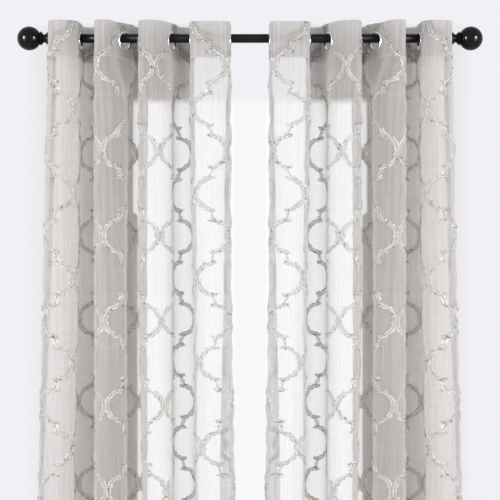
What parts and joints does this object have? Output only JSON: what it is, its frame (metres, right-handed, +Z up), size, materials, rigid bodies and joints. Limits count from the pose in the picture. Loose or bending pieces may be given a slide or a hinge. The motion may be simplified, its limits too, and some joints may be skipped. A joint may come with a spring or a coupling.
{
  "type": "sheer voile curtain pair with curtain rod",
  "caption": "Pair of sheer trellis voile panels hanging in soft folds by eyelet rings from a round black rod with ball finials.",
  "frame": {"origin": "on the rod's axis, halfway along the rod", "axes": "+X along the rod to the viewer's right, -Y towards the room, +Z up"},
  "size_m": [1.331, 0.153, 2.134],
  "materials": {
    "voile": "sheer slub voile with a raised yarn trellis, warm grey",
    "nickel": "brushed nickel plate",
    "black_metal": "satin black enamel"
  },
  "bodies": {
    "root": {"curtain_left": "voile", "curtain_right": "voile", "eyelet_left_1": "nickel", "eyelet_left_2": "nickel", "eyelet_left_3": "nickel", "eyelet_left_4": "nickel", "eyelet_left_5": "nickel", "eyelet_left_6": "nickel", "eyelet_left_7": "nickel", "eyelet_left_8": "nickel", "eyelet_right_1": "nickel", "eyelet_right_2": "nickel", "eyelet_right_3": "nickel", "eyelet_right_4": "nickel", "eyelet_right_5": "nickel", "eyelet_right_6": "nickel", "eyelet_right_7": "nickel", "eyelet_right_8": "nickel", "finial_left": "black_metal", "finial_right": "black_metal", "rod": "black_metal"}
  },
  "joints": []
}
